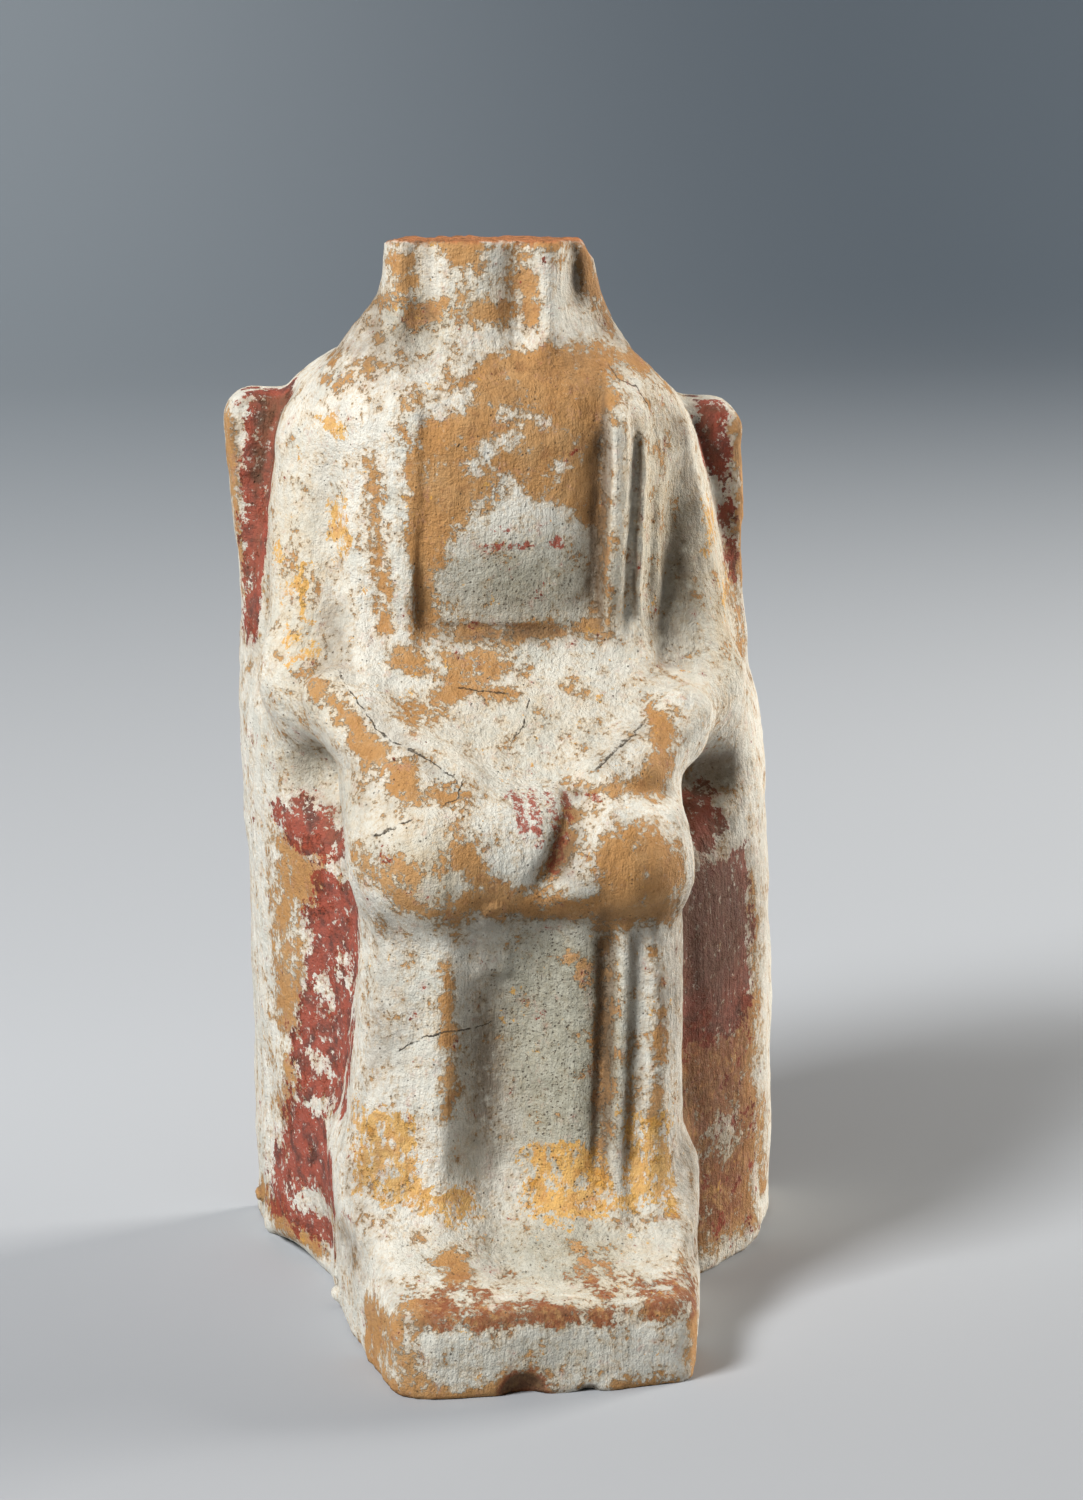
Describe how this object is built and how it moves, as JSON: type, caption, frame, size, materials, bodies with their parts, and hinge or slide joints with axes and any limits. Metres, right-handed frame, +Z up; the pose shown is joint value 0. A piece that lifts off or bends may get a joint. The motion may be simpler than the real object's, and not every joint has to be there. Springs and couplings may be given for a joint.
{
  "type": "classical figurine",
  "caption": "Headless seated figure in draped dress and mantle on a high-backed throne with armrests and footstool, fired clay with worn paint.",
  "frame": {"origin": "centre of the bounding box in plan, at the plane it stands on", "axes": "+Z up towards the broken neck, the figure faces -Y, +X is to the viewer's right"},
  "size_m": [0.082, 0.085, 0.1531],
  "materials": {
    "painted_terracotta": "fired clay under worn cream slip with traces of red and yellow paint, matte"
  },
  "bodies": {
    "root": {"figurine": "painted_terracotta"}
  },
  "joints": []
}
